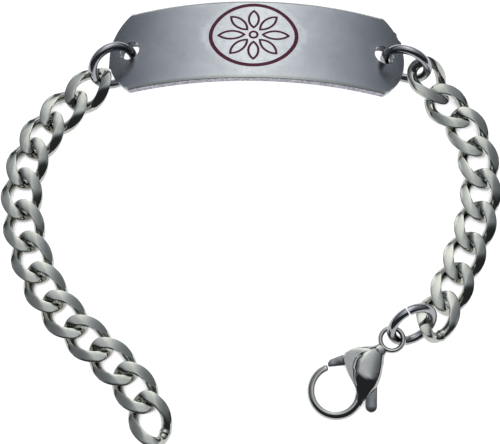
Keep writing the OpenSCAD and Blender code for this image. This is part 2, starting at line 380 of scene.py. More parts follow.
# %% The steels
# dark and light colour, roughness when fresh and dulled, lines across a metre, depth of the lines
STEELS = {
    "chain_polish": ((0.345, 0.355, 0.322), (0.44, 0.452, 0.408), 0.09, 0.16, 5000.0, 0.12),
    "ring_polish": ((0.28, 0.288, 0.295), (0.36, 0.368, 0.376), 0.12, 0.20, 4000.0, 0.12),
    "clasp_polish": ((0.345, 0.35, 0.33), (0.43, 0.437, 0.41), 0.05, 0.10, 5000.0, 0.05),
    "lever_satin": ((0.20, 0.205, 0.205), (0.26, 0.265, 0.265), 0.34, 0.46, 6000.0, 0.3),
    "plate_satin": ((0.29, 0.305, 0.325), (0.33, 0.345, 0.365), 0.20, 0.26, 12000.0, 0.2),
    "plate_bevel": ((0.33, 0.345, 0.322), (0.42, 0.435, 0.405), 0.14, 0.22, 9000.0, 0.3),
    # the bores' near-black colours are painted shade: the same steel, darkened for the shadow inside the holes
    "plate_bore_painted_shade": ((0.05, 0.054, 0.06), (0.09, 0.095, 0.105), 0.28, 0.38, 6000.0, 0.3)}
steels = {name: make_steel(name, *values) for name, values in STEELS.items()}

# %% [markdown]
# The plate's long sides were blasted, so they are speckled with small bright grains. Real dents would need a
# very fine mesh, so one noise gives the grains' tone and a small relief. The enamel is dark red glass that
# was fired into the engraved lines, and its faint unevenness is made the same way.

# %% Blasted side and enamel
def make_mottled(name, settings, pattern, limits, dark, light, relief):
    """A material between two colours by one noise, which also gives its relief."""
    material, tree, shader = new_material(name, settings)
    grains = noise(tree, add(tree, "TexCoord").outputs["Object"], *pattern)
    tone = mix_colours(tree, remap(tree, grains, *limits), dark, light)
    tree.links.new(tone, shader.inputs["Base Color"])
    add_relief(tree, shader, grains, *relief)
    return material


side_steel = make_mottled("plate_side", {"Metallic": 1.0, "Roughness": 0.55}, (2600.0, 3.0, 0.7),
                          (0.36, 0.66), (0.26, 0.26, 0.29), (0.66, 0.66, 0.70), (0.5, 0.00005))
enamel = make_mottled("enamel_dark_red", {"Roughness": 0.32, "Specular IOR Level": 0.16}, (900.0, 2.0),
                      (0.0, 1.0), (0.070, 0.003, 0.020), (0.150, 0.007, 0.050), (0.15, 0.00004))

# %% [markdown]
# ## Curb links
#
# A curb link starts as an oval of round wire whose ends are twisted opposite ways, so that the chain lies
# flat. A curve object with a bevel could draw it, but couldn't be ground afterwards, so the wire is swept
# along the oval as a mesh of rings.

# %% Link wire
LINK_LENGTH, LINK_WIDTH, WIRE = 9.4, 6.95, 1.8
LINK_SQUARE = 2.3
END_TWIST = math.radians(50)
LINK_RINGS, WIRE_SIDES = 132, 28


def even_loop(curve, count, dense=4000):
    """Points at equal steps along a closed curve."""
    line = curve(np.linspace(0.0, 2 * math.pi, dense + 1))
    length = np.r_[0.0, np.cumsum(np.linalg.norm(np.diff(line, axis=0), axis=1))]
    at = np.linspace(0.0, length[-1], count, endpoint=False)
    return np.c_[[np.interp(at, length, line[:, k]) for k in range(3)]].T


def twisted_oval(t):
    x = (LINK_LENGTH - WIRE) / 2 * spow(np.cos(t), 2 / LINK_SQUARE)
    w = (LINK_WIDTH - WIRE) / 2 * spow(np.sin(t), 2 / LINK_SQUARE)
    turn = END_TWIST * x / ((LINK_LENGTH - WIRE) / 2)
    return np.c_[x, w * np.cos(turn), -w * np.sin(turn)]


def wire_rings(line, radius, sides):
    """Round sections square to a closed line that never runs straight up."""
    along = np.roll(line, -1, 0) - np.roll(line, 1, 0)
    along /= np.linalg.norm(along, axis=1)[:, None]
    side = np.cross(along, (0.0, 0.0, 1.0))
    side /= np.linalg.norm(side, axis=1)[:, None]
    up = np.cross(side, along)
    turn = full_turn(sides)
    return line[:, None] + radius[:, None, None] * (np.cos(turn)[None, :, None] * side[:, None]
                                                    + np.sin(turn)[None, :, None] * up[:, None])


link_line = even_loop(twisted_oval, LINK_RINGS)
print("the link's wire runs %.2f mm up and down" % np.ptp(link_line[:, 2]))

# %% [markdown]
# The chain is then ground on both faces. A boolean cut would leave dead flat faces, but polishing crowns
# them and softens their edges. So the part above the grinding plane is pressed down to it and keeps a trace
# of its height. The polish also takes the most off a face's tail, which turns it dark. A link's weld hides
# under its neighbour, and shows only on the last ones.

# %% Ground link
GROUND_AT, MOST_GROUND = 1.15, 0.9
EDGE_CROWN, EDGE_SPREAD, FACE_CROWN = 0.02, 0.10, 0.14
DIP, DIP_CURVE, SIDE_BLEND = 0.34, 2.8, 0.6
LEAN, ARM_AT, LEAN_IN, LEAN_OUT = 0.38, 2.25, -0.6, 0.9
END_AT, END_FADE = 4.3, 1.2
WELD_AT, WELD_SPREAD, WELD_HEIGHT = (2.5, 1.65), 0.3, 0.15
FACE_ANGLE = math.radians(22)


def dip(x, y):
    """How far the upper face falls below the grinding plane, towards its tail and outwards."""
    along = -x * math.tanh(y / SIDE_BLEND)
    tail = max(0.0, 1 - along / (LINK_LENGTH / 2))
    outwards = min(LEAN_OUT, max(LEAN_IN, abs(y) - ARM_AT))
    away_from_end = min(1.0, max(0.0, (END_AT - abs(x)) / END_FADE))
    return away_from_end * (DIP * tail ** DIP_CURVE + LEAN * tail * outwards)


def cut_level(bm, height):
    """Cuts a row of edges into the mesh at a height."""
    bmesh.ops.bisect_plane(bm, geom=bm.verts[:] + bm.edges[:] + bm.faces[:], dist=1e-5,
                           plane_co=(0.0, 0.0, height), plane_no=(0.0, 0.0, 1.0))


def make_link_mesh(name, weld):
    """A link. Its weld stands proud of the wire by a given height."""
    from_weld = np.linalg.norm(link_line[:, :2] - WELD_AT, axis=1)
    radius = WIRE / 2 + weld * np.exp(-(from_weld / WELD_SPREAD) ** 2)
    bm = skin(wire_rings(link_line, radius, WIRE_SIDES), closed=True)
    cut_level(bm, -GROUND_AT)
    for v in bm.verts:
        v.co.z = max(v.co.z, -GROUND_AT) + dip(v.co.x, v.co.y)
    start = GROUND_AT - FACE_CROWN * MOST_GROUND
    cut_level(bm, start)
    for v in bm.verts:
        over = max(v.co.z - start, 0.0)
        soft = EDGE_CROWN * (1 - math.exp(-over / EDGE_SPREAD)) + FACE_CROWN * over
        v.co.z = min(v.co.z, start) + soft - dip(v.co.x, v.co.y)
    return finish_mesh(bm, name, FACE_ANGLE)


# %% [markdown]
# The links are all alike. Each could have a mesh of its own, but shared meshes keep the file small, so two
# serve them all, and only the last link of each chain takes the welded one.

# %% Links in place
LAST_LINKS = ("link_left_13", "link_right_09")
link_mesh = make_link_mesh("curb_link", 0.0)
end_mesh = make_link_mesh("curb_link_welded", WELD_HEIGHT)
links = [n for n in sorted(frame["nodes"]) if n.startswith("link_")]
for node in links:
    mesh = end_mesh if node in LAST_LINKS else link_mesh
    place_piece(mesh, node.replace("link", "curb"), [steels["chain_polish"]], [node],
                link_place(node))
print("links:", len(links), "of", len(link_mesh.polygons), "faces each")

# %% [markdown]
# ## Jump rings
#
# Each jump ring is a turn of round wire. The two at the plate are closed so well that the seam hardly shows,
# and the one at the clasp was never quite shut. Blender's torus would do for the first two, but the split
# one needs its own sweep, so all three share it.

# %% Jump rings
RING_WIRE, PLATE_RING, CLASP_RING = 1.5, 9.0, 8.8
RING_RINGS, RING_SIDES = 144, 28
SPLIT, BENT_ANGLE, BENT_OUT, BENT_UP = 0.2, 0.4, 0.10, 0.08


def make_ring_mesh(name, outside, opening=None):
    """A ring about its own Z axis. A split ring starts and ends at its opening."""
    radius = (outside - RING_WIRE) / 2
    turn = full_turn(RING_RINGS)
    reach, lift = np.full(RING_RINGS, radius), np.zeros(RING_RINGS)
    if opening is not None:
        half = SPLIT / 2 / radius
        turn = opening + np.linspace(half, 2 * math.pi - half, RING_RINGS)
        from_end = np.minimum(turn - turn[0], turn[-1] - turn)
        bent = np.exp(-(from_end / BENT_ANGLE) ** 2) * np.sign(turn - turn.mean())
        reach, lift = radius + BENT_OUT * bent, BENT_UP * bent
    line = np.c_[reach * np.cos(turn), reach * np.sin(turn), lift]
    spokes = np.c_[np.cos(turn), np.sin(turn), np.zeros(RING_RINGS)]
    round_it = full_turn(RING_SIDES)
    up = np.array((0.0, 0.0, 1.0))
    sections = [p + RING_WIRE / 2 * (np.cos(round_it)[:, None] * s + np.sin(round_it)[:, None] * up)
                for p, s in zip(line, spokes)]
    return finish_mesh(skin(sections, closed=opening is None), name)


RINGS = (("jump_ring_left", "plate_ring_left", PLATE_RING),
         ("jump_ring_right", "plate_ring_right", PLATE_RING),
         ("jump_ring_clasp", "clasp_ring", CLASP_RING))
for name, node, outside in RINGS:
    place, opening = ring_place(node)
    mesh = make_ring_mesh(name, outside, opening if node == "clasp_ring" else None)
    place_piece(mesh, name, [steels["ring_polish"]], [node], place)
print("jump rings: 3, the last one open at %.0f degrees" % math.degrees(opening))

# %% [markdown]
# ## Plate
#
# The plate is stamped from sheet and bent. A bend modifier would come close, but the curve has to be exact
# to sit on the model. So the plate is laid out as a plan of distances along its curve and across it, and
# each point of the plan is bent by its own sum. All loops of the outline have the same count of points, so
# walls and bevels are plain bands between two loops.

# %% Plate plan
PLATE_R, PLATE_T, PLATE_W, PLATE_L = 59.0, 1.3, 16.0, 50.2
END_R = 10.0
TIP = math.asin(PLATE_L / 2 / PLATE_R)
END_AT_S = PLATE_R * TIP - END_R
CORNER_STEPS, END_STEPS, EDGE_STEPS = 7, 49, 99


def bend(s, y, depth):
    """A point of the plan, at a depth below the plate's outer face."""
    return (PLATE_R - depth) * math.sin(s / PLATE_R), y, (PLATE_R - depth) * math.cos(s / PLATE_R)


def arc(centre, radius, start, end, count):
    turn = np.linspace(start, end, count)
    return np.c_[centre[0] + radius * np.cos(turn), centre[1] + radius * np.sin(turn)]


def circle_loop(centre, radius, count):
    return arc(centre, radius, 0.0, 2 * math.pi * (1 - 1 / count), count)


def plate_outline(inset_long, inset_end, corner):
    """The plate's plan as one loop, and how far each of its points belongs to a long edge."""
    half = PLATE_W / 2 - inset_long
    reach = END_R - inset_end
    middle = END_AT_S + math.sqrt((reach - corner) ** 2 - (half - corner) ** 2)
    swing = math.atan2(half - corner, middle - END_AT_S)
    low = arc((middle, corner - half), corner, -math.pi / 2, -swing, CORNER_STEPS)
    end = arc((END_AT_S, 0.0), reach, -swing, swing, END_STEPS)
    high = arc((middle, half - corner), corner, swing, math.pi / 2, CORNER_STEPS)
    right = np.vstack((low, end[1:-1], high))
    edge = np.linspace(middle, -middle, EDGE_STEPS)[1:-1]
    top = np.c_[edge, np.full(len(edge), half)]
    fade = np.linspace(1.0, 0.0, CORNER_STEPS)
    share = np.r_[fade, np.zeros(len(end) - 2), fade[::-1], np.ones(len(top))]
    return np.vstack((right, top, -right, -top)), np.tile(share, 2)


print("the plate unrolled is %.1f mm long" % (2 * PLATE_R * TIP))

# %% [markdown]
# Flat parts of a plan are filled with triangles that keep every loop as an edge. One big face could fill it
# too, but it couldn't follow the curve, as triangles between the points of a grid do. Which of them are kept
# is asked at the middle of each.

# %% Filling a plan
def near_any(points, loops, distance):
    border = np.vstack(loops)
    return np.array([np.hypot(*(border - p).T).min() < distance for p in points])


def fill_plan(loops, spacing, wanted):
    """Triangles of a plan, as three corner points each."""
    points = [tuple(p) for loop in loops for p in loop]
    edges = []
    for loop in loops:
        first = len(edges)
        edges += [(first + i, first + (i + 1) % len(loop)) for i in range(len(loop))]
    low, high = np.min(points, 0), np.max(points, 0)
    steps = [np.arange(start, end, spacing) for start, end in zip(low, high)]
    grid = np.stack(np.meshgrid(*steps), -1).reshape(-1, 2)
    grid = grid[~near_any(grid, loops, spacing * 0.4)]
    points += [tuple(p) for p in grid]
    found = geometry.delaunay_2d_cdt([Vector(p) for p in points], edges, [], 0, 1e-6)
    spots = np.array([points[old[0]] for old in found[3]])
    faces = np.array([spots[list(face)] for face in found[2]])
    return faces[wanted(*faces.mean(1).T)]


def corner_maker(bm, shape):
    """Corners by their place in the plan, each made once."""
    made = {}

    def corner(s, y, depth):
        key = (round(s, 6), round(y, 6), round(depth, 6))
        if key not in made:
            made[key] = bm.verts.new(shape(s, y, depth))
        return made[key]
    return corner


def lay(bm, corner, triangles, depth):
    for triangle in triangles:
        bm.faces.new([corner(s, y, depth) for s, y in triangle])


def wall(bm, corner, upper, lower, depth_up, depth_low, slots=0):
    """A band of faces between two loops. Depths and slots can differ from point to point."""
    count = len(upper)
    up, down, slot = (np.broadcast_to(values, count) for values in (depth_up, depth_low, slots))
    for i in range(count):
        j = (i + 1) % count
        face = bm.faces.new((corner(*upper[i], up[i]), corner(*upper[j], up[j]),
                             corner(*lower[j], down[j]), corner(*lower[i], down[i])))
        face.material_index = int(slot[i])


# %% [markdown]
# ## Emblem
#
# The emblem is an oval frame of four arcs round a rosette of pointed petals, with a small ring in the
# middle. Each line is engraved, and enamel fills it almost to the top. A painted pattern would look flat
# from the side, so the lines are cut as real grooves, and the same curves, drawn a hair smaller, give the
# enamel.

# %% Emblem frame
EMBLEM_AT = np.array((-0.6, 0.65))
OVAL_L, OVAL_W, OVAL_END_R, FRAME_LINE = 15.0, 13.2, 5.1, 0.65
OVAL_X = OVAL_L / 2 - OVAL_END_R
OVAL_SIDE_R = (OVAL_X ** 2 + (OVAL_W / 2) ** 2 - OVAL_END_R ** 2) / (OVAL_W - 2 * OVAL_END_R)
OVAL_SIDE_Y = OVAL_SIDE_R - OVAL_W / 2
ARC_STEPS = 30


def oval_loop(inset):
    lean = math.atan2(OVAL_SIDE_Y, OVAL_X)
    end = arc((OVAL_X, 0.0), OVAL_END_R - inset, -lean, lean, ARC_STEPS)
    side = arc((0.0, -OVAL_SIDE_Y), OVAL_SIDE_R - inset, lean, math.pi - lean, ARC_STEPS)[1:-1]
    return np.vstack((end, side, -end, -side)) + EMBLEM_AT


def in_oval(x, y, inset):
    x, y = np.abs(x - EMBLEM_AT[0]), np.abs(y - EMBLEM_AT[1])
    join = (OVAL_SIDE_R - inset) * OVAL_X / math.hypot(OVAL_X, OVAL_SIDE_Y)
    side = (np.hypot(x, y + OVAL_SIDE_Y) < OVAL_SIDE_R - inset) & (x < join)
    return side | (np.hypot(x - OVAL_X, y) < OVAL_END_R - inset)


print("the frame's long arcs have a radius of %.1f mm" % OVAL_SIDE_R)

# %% [markdown]
# A petal is the overlap of two circles. A drawn shape would do, but these circles also tell whether a point
# is in it. The petals reach towards the oval, so each has its own length.

# %% Petals
PETALS, PETAL_W, PETAL_LINE, PETAL_STEPS = 8, 2.05, 0.4, 17
ROSETTE_MARGIN, HUB_R, CENTRE_R = 1.35, 1.25, 0.85


def petal_places():
    """Each petal's length, middle and direction."""
    reach = np.array((OVAL_L, OVAL_W)) / 2 - ROSETTE_MARGIN
    for i in range(PETALS):
        turn = 2 * math.pi * i / PETALS
        tip = reach[0] * reach[1] / math.hypot(reach[1] * math.cos(turn), reach[0] * math.sin(turn))
        yield tip - HUB_R, (tip + HUB_R) / 2, turn


def petal_curve(length):
    """The radius of the two circles whose overlap is a petal."""
    return (length ** 2 + PETAL_W ** 2) / (4 * PETAL_W)


def petal_loop(length, middle, turn, inset):
    curve = petal_curve(length)
    sink = curve - PETAL_W / 2
    half = math.sqrt((curve - inset) ** 2 - sink ** 2)
    x = np.linspace(-half, half, PETAL_STEPS)
    y = np.sqrt(np.maximum((curve - inset) ** 2 - x ** 2, 0.0)) - sink
    loop = np.vstack((np.c_[x, -y], np.c_[x, y][::-1][1:-1])) + (middle, 0.0)
    turned_loop = np.c_[loop[:, 0] * math.cos(turn) - loop[:, 1] * math.sin(turn),
                        loop[:, 0] * math.sin(turn) + loop[:, 1] * math.cos(turn)]
    return turned_loop + EMBLEM_AT


def in_petal(x, y, length, middle, turn, inset):
    x, y = x - EMBLEM_AT[0], y - EMBLEM_AT[1]
    along = x * math.cos(turn) + y * math.sin(turn) - middle
    across = np.abs(y * math.cos(turn) - x * math.sin(turn))
    curve = petal_curve(length)
    return np.hypot(along, across + curve - PETAL_W / 2) < curve - inset


print("petals:", ["%.2f mm" % length for length, _, _ in petal_places()])

# %% [markdown]
# Every line has two borders. They could be listed one by one, but the same few curves give them all: for the
# engraving, and moved inwards by a gap for the enamel.

# %% Emblem lines
CENTRE_STEPS = 32


def emblem_loops(gap):
    """The borders of all lines, each moved into its line by a gap."""
    loops = [oval_loop(gap), oval_loop(FRAME_LINE - gap)]
    for petal in petal_places():
        loops += [petal_loop(*petal, gap), petal_loop(*petal, PETAL_LINE - gap)]
    return loops + [circle_loop(EMBLEM_AT, CENTRE_R - gap, CENTRE_STEPS),
                    circle_loop(EMBLEM_AT, CENTRE_R - PETAL_LINE + gap, CENTRE_STEPS)]


def in_emblem(x, y, gap=0.0):
    """True on the emblem's lines."""
    on = in_oval(x, y, gap) & ~in_oval(x, y, FRAME_LINE - gap)
    for petal in petal_places():
        on |= in_petal(x, y, *petal, gap) & ~in_petal(x, y, *petal, PETAL_LINE - gap)
    off_centre = np.hypot(x - EMBLEM_AT[0], y - EMBLEM_AT[1])
    return on | ((off_centre < CENTRE_R - gap) & (off_centre > CENTRE_R - PETAL_LINE + gap))


print("borders in the emblem:", len(emblem_loops(0.0)))

# %% [markdown]
# ## Plate and enamel as meshes
#
# A bevel runs round the top, wide along the two long edges and narrow at the ends, with a fine lip below it.
# A bevel modifier has one width everywhere, so the bands are built by hand. The face is satin, the long
# sides are blasted, and the bores get a near-black steel that paints the shade inside the holes. Faces that
# follow the curve get its own normals, so the satin shows no facets.

# %% Plate mesh
HOLE_SPAN, HOLE_D, HOLE_STEPS = 43.0, 3.4, 56
HOLE_S = PLATE_R * math.asin(HOLE_SPAN / 2 / PLATE_R)
LONG_BEVEL, END_BEVEL, HOLE_BEVEL, UNDER_BEVEL = 0.50, 0.13, 0.12, 0.12
BEVEL_DEPTH, LIP_DEPTH, LIP_HEIGHT = 0.22, 0.06, 0.07
TOP_CORNER, UNDER_CORNER, OUTER_CORNER = 0.35, 0.4, 0.5
LIP_OUTLINE = (0.05, 0.04, 0.45)
ENGRAVED, ENAMEL_TOP, ENAMEL_GAP = 0.25, 0.05, 0.012
TOP_GRID, UNDER_GRID = 0.8, 1.6
SATIN, BEVEL, SIDE, BORE = range(4)
ON_THE_CURVE = 0.995


def from_hole(x, y):
    """The distance to the middle of the nearer hole."""
    return np.min([np.hypot(x - side * HOLE_S, y) for side in (-1, 1)], 0)


def in_plate(x, y):
    inside = np.abs(y) < PLATE_W / 2
    inside &= np.hypot(np.maximum(np.abs(x) - END_AT_S, 0.0), y) < END_R
    return inside & (from_hole(x, y) > HOLE_D / 2)


def hole_loops(radius):
    return [circle_loop((side * HOLE_S, 0.0), radius, HOLE_STEPS) for side in (-1, 1)]


def round_normals(mesh):
    """Gives the faces that follow the plate's curve that curve's own normals."""
    normals = np.zeros((len(mesh.loops), 3))
    for face in mesh.polygons:
        for i in face.loop_indices:
            co = mesh.vertices[mesh.loops[i].vertex_index].co
            out = Vector((co.x, 0.0, co.z)).normalized()
            facing = out.dot(face.normal)
            if abs(facing) > ON_THE_CURVE:
                normals[i] = out * math.copysign(1.0, facing)
    mesh.normals_split_custom_set(normals.tolist())
    return mesh


def add_plate_sides(bm, corner, top, under):
    """The bands from the top, over the bevel and its lip, to the underside."""
    lip, _ = plate_outline(*LIP_OUTLINE)
    outer, share = plate_outline(0.0, 0.0, OUTER_CORNER)
    lip_depth = LIP_DEPTH + (BEVEL_DEPTH - LIP_DEPTH) * share
    bevel = END_BEVEL + (BEVEL_DEPTH + LIP_HEIGHT - END_BEVEL) * share
    wall(bm, corner, top, lip, 0.0, lip_depth, BEVEL)
    wall(bm, corner, lip, outer, lip_depth, bevel)
    wall(bm, corner, outer, outer, bevel, PLATE_T - UNDER_BEVEL, np.where(share > 0.5, SIDE, SATIN))
    wall(bm, corner, outer, under, PLATE_T - UNDER_BEVEL, PLATE_T)


def make_plate_mesh():
    bm = bmesh.new()
    corner = corner_maker(bm, bend)
    top, _ = plate_outline(LONG_BEVEL, END_BEVEL, TOP_CORNER)
    under, _ = plate_outline(UNDER_BEVEL, UNDER_BEVEL, UNDER_CORNER)
    rims, bores = hole_loops(HOLE_D / 2 + HOLE_BEVEL), hole_loops(HOLE_D / 2)
    lines = emblem_loops(0.0)
    sheet = fill_plan([top] + rims + lines, TOP_GRID, in_plate)
    middle = sheet.mean(1).T
    engraved = in_emblem(*middle)
    open_hole = from_hole(*middle) < HOLE_D / 2 + HOLE_BEVEL
    lay(bm, corner, sheet[~engraved & ~open_hole], 0.0)
    lay(bm, corner, sheet[engraved], ENGRAVED)
    for loop in lines:
        wall(bm, corner, loop, loop, 0.0, ENGRAVED)
    add_plate_sides(bm, corner, top, under)
    for rim, bore in zip(rims, bores):
        wall(bm, corner, rim, bore, 0.0, HOLE_BEVEL, BEVEL)
        wall(bm, corner, bore, bore, HOLE_BEVEL, PLATE_T, BORE)
    lay(bm, corner, fill_plan([under] + bores, UNDER_GRID, in_plate), PLATE_T)
    return round_normals(finish_mesh(bm, "plate"))


def make_enamel_mesh():
    bm = bmesh.new()
    corner = corner_maker(bm, bend)
    lines = emblem_loops(ENAMEL_GAP)
    sheet = fill_plan(lines, TOP_GRID, lambda x, y: in_emblem(x, y, ENAMEL_GAP))
    for depth in (ENAMEL_TOP, ENGRAVED - ENAMEL_GAP):
        lay(bm, corner, sheet, depth)
    for loop in lines:
        wall(bm, corner, loop, loop, ENAMEL_TOP, ENGRAVED - ENAMEL_GAP)
    return round_normals(finish_mesh(bm, "emblem_enamel"))


# %% [markdown]
# The plate lies rolled, with its near edge high. Its place could be typed as a matrix, but a move and two
# turns are easier to read and to compare with the photograph.

# %% Plate in place
PLATE_AT = (0.951, 27.758, 2.1)
PLATE_ROLL, PLATE_TURN = math.radians(15.0), math.radians(-1.0)


def turned(place, turns):
    """A place in metres: moved, then turned about one axis after another."""
    matrix = Matrix.Translation(Vector(place) * MM)
    for angle, axis in turns:
        matrix = matrix @ Matrix.Rotation(angle, 4, axis)
    return matrix


plate_place = turned(PLATE_AT, [(PLATE_TURN, "Z"), (-PLATE_ROLL, "X")])
plate_place = plate_place @ Matrix.Translation((0.0, 0.0, -(PLATE_R - PLATE_T) * math.cos(TIP) * MM))
plate_metals = [steels["plate_satin"], steels["plate_bevel"], side_steel, steels["plate_bore_painted_shade"]]
plate = place_piece(make_plate_mesh(), "identity_plate", plate_metals, ["plate"], plate_place)
place_piece(make_enamel_mesh(), "enamel_lines", [enamel], ["emblem_enamel"], plate_place)
print("plate faces:", len(plate.data.polygons))

# %% [markdown]
# ## Clasp
#
# The lobster clasp is one casting: an eye, a full body that swells from it, and a hook that comes round to
# the gate. Sculpting could give such a form, but not twice the same. So the body is a row of sections
# between its front edge, where the gate is, and its back edge, and a curve fills in the rows between.

# %% Clasp numbers
EYE_X, EYE_D, EYE_WALL, EYE_T = 12.2, 2.85, 0.82, 1.3
HOOK_R, HOOK_FROM, HOOK_TO = 3.95, -63.0, -288.0
HOOK_WIDTH, HOOK_HEIGHT, HOOK_THINS = (1.55, 1.1), (2.1, 1.5), 0.6
# degrees past the hook's end, share of its size
HOOK_TIP = ((2.5, 0.98), (4.2, 0.9), (5.3, 0.76), (5.9, 0.55), (6.1, 0.3))
BODY_SIDES, BODY_STEPS, HOOK_STEPS = 144, 5, 73
# front x, front y, back x, back y, thickness
BODY_SECTIONS = np.array([
    (10.4, 0.85, 10.4, -0.85, 1.2),
    (9.6, 1.15, 9.6, -1.15, 1.6),
    (9.0, 1.55, 9.2, -1.45, 2.2),
    (8.2, 2.15, 8.6, -2.0, 2.9),
    (7.2, 2.9, 7.95, -2.55, 3.5),
    (6.3, 3.3, 7.1, -3.15, 3.9),
    (5.4, 3.5, 6.25, -3.6, 4.1),
    (4.65, 3.45, 5.55, -3.9, 4.1),
    (4.15, 3.0, 4.95, -4.1, 4.0),
    (3.85, 2.2, 4.45, -4.15, 3.8),
    (3.45, 1.2, 4.0, -4.2, 3.5),
    (3.15, 0.2, 3.6, -4.25, 3.2),
    (2.95, -0.7, 3.3, -4.3, 2.9),
    (2.65, -1.6, 3.0, -4.35, 2.6),
    (2.2, -2.3, 2.7, -4.4, 2.35)])


def smooth_rows(rows, steps):
    """Rows between the given ones, on a curve through all of them."""
    ends = np.vstack((2 * rows[0] - rows[1], rows, 2 * rows[-1] - rows[-2]))
    out = []
    for a, b, c, d in zip(ends, ends[1:], ends[2:], ends[3:]):
        for t in np.arange(steps) / steps:
            out.append(0.5 * (2 * b + (c - a) * t + (2 * a - 5 * b + 4 * c - d) * t * t
                              + (3 * b - 3 * c + d - a) * t ** 3))
    return np.array(out + [rows[-1]])


body_rows = smooth_rows(BODY_SECTIONS, BODY_STEPS)
print("rows in the body:", len(body_rows))

# %% [markdown]
# A flat shoulder runs along the body's front, and the dome rises from it with a soft crease, which draws the
# bright band and the dark line in the photograph. It could be an edge loop marked sharp, but polishing has
# rounded it, so it is part of the section's curve.

# %% Sections of body and hook
SECTION_SQUARE, DOME_SQUARE = 2.3, 2.4
SHOULDER_AT, DOME_AT, RISE_CURVE = 0.62, 0.38, 0.8
SHOULDER_TOP, SHOULDER_FALL, MOST_SHOULDER, FRONT_EDGE = 1.30, 0.05, 0.97, 0.06
BODY_RIDGE, HOOK_RIDGE = -0.25, 0.35
THIN, THIN_FADE, NECK, NECK_CURVE = 2.3, 0.5, 0.36, 1.5
SHOULDER_GROWS, GROWS_FROM, GROWS_OVER = 0.22, 0.40, 0.2


def ramp(value):
    return np.clip(value, 0.0, 1.0)


def mixed(pair, share):
    return pair[0] + (pair[1] - pair[0]) * share


def shoulder_profile(u, half):
    """Height over the body's width, in half thicknesses: a shoulder, then a dome."""
    top = min(SHOULDER_TOP, half * MOST_SHOULDER) / half
    rise = ramp((SHOULDER_AT - u) / (SHOULDER_AT - DOME_AT))
    front = top + (1 - top) * np.sin(rise * math.pi / 2) ** RISE_CURVE
    slope = top - SHOULDER_FALL / half * (u - SHOULDER_AT) / (1 - SHOULDER_AT)
    edge = np.sqrt(ramp((1.0 - u) / FRONT_EDGE))
    back = ramp((DOME_AT - u) / (1 + DOME_AT))
    fall = (1 - back ** DOME_SQUARE) ** (1 / DOME_SQUARE)
    return np.where(u > SHOULDER_AT, slope * edge, np.where(u > DOME_AT, front, fall))


def clasp_section(front, back, thick, shoulder, ridge, wider=0.0):
    """A closed section between two points of the clasp's plan."""
    turn = full_turn(BODY_SIDES, 0.5)
    u = spow(np.cos(turn), 2 / SECTION_SQUARE)
    bulge = 1 - u * u
    plain = np.abs(np.sin(turn)) ** (2 / SECTION_SQUARE)
    shaped = shoulder_profile(np.minimum(u + wider * bulge, 1.0), thick / 2)
    height = plain + (shaped - plain) * shoulder
    middle = (np.array(front) + back) / 2 + np.outer(u + ridge * bulge, (np.array(front) - back) / 2)
    return np.c_[middle, thick / 2 * height * np.sign(np.sin(turn))]


def hook_section(angle, width, height):
    way = np.array((math.cos(math.radians(angle)), math.sin(math.radians(angle))))
    return clasp_section((HOOK_R - width / 2) * way, (HOOK_R + width / 2) * way, height, 0.0, HOOK_RIDGE)


def make_clasp_casting():
    """The body and the hook as one closed skin, in millimetres."""
    rings = []
    for (fx, fy, bx, by, thick), along in zip(body_rows, np.linspace(0.0, 1.0, len(body_rows))):
        shoulder = ramp((thick - THIN) / THIN_FADE) * ramp(along / NECK) ** NECK_CURVE
        ridge = mixed((BODY_RIDGE * shoulder, HOOK_RIDGE), ramp(along * 2 - 1))
        wider = SHOULDER_GROWS * ramp((along - GROWS_FROM) / GROWS_OVER)
        rings.append(clasp_section((fx, fy), (bx, by), thick, shoulder, ridge, wider))
    for share in np.linspace(0.0, 1.0, HOOK_STEPS):
        ease = share ** HOOK_THINS
        rings.append(hook_section(mixed((HOOK_FROM, HOOK_TO), share), mixed(HOOK_WIDTH, ease),
                                  mixed(HOOK_HEIGHT, ease)))
    for turn, size in HOOK_TIP:
        rings.append(hook_section(HOOK_TO - turn, HOOK_WIDTH[1] * size, HOOK_HEIGHT[1] * size))
    return skin(rings, closed=False)


# %% [markdown]
# The eye is its own short tube, joined to the body, and the slot for the lever and the bore for its pin are
# cut last. Joining face by face would be slow and easy to leave open, but the exact boolean makes one closed
# body from solids that are closed themselves.

# %% Eye and tools
EYE_SQUARE, EYE_SIDES, EYE_STEPS = 2.4, 24, 72


def make_eye():
    turn = full_turn(EYE_SIDES)
    radius = (EYE_D + EYE_WALL) / 2 + EYE_WALL / 2 * spow(np.cos(turn), 2 / EYE_SQUARE)
    height = EYE_T / 2 * spow(np.sin(turn), 2 / EYE_SQUARE)
    rings = []
    for way in full_turn(EYE_STEPS):
        rings.append(np.c_[EYE_X + radius * math.cos(way), radius * math.sin(way), height])
    return skin(rings, closed=True)


def make_prism(loop, height):
    return skin([np.c_[loop, np.full(len(loop), z)] for z in (-height / 2, height / 2)], closed=False)


def as_tool(bm, name):
    bmesh.ops.recalc_face_normals(bm, faces=bm.faces)
    mesh = bpy.data.meshes.new(name)
    bm.to_mesh(mesh)
    bm.free()
    return add_object(name, mesh)


def carve(name, first, steps):
    """Joins and cuts solids in the order given."""
    body = as_tool(first, name)
    tools = []
    for operation, bm in steps:
        tools.append(as_tool(bm, name + "_tool"))
        step = body.modifiers.new(operation.lower(), "BOOLEAN")
        step.operation = operation
        step.solver = "EXACT"
        step.object = tools[-1]
    shaped = body.evaluated_get(bpy.context.evaluated_depsgraph_get())
    bm = bmesh.new()
    bm.from_mesh(shaped.to_mesh())
    for thing in tools + [body]:
        bpy.data.objects.remove(thing)
    return finish_mesh(bm, name)


# %% [markdown]
# One tool could cut the whole clasp, but simple prisms are easy to check one by one. The clasp lies tipped
# up towards its eye, which its ring carries.

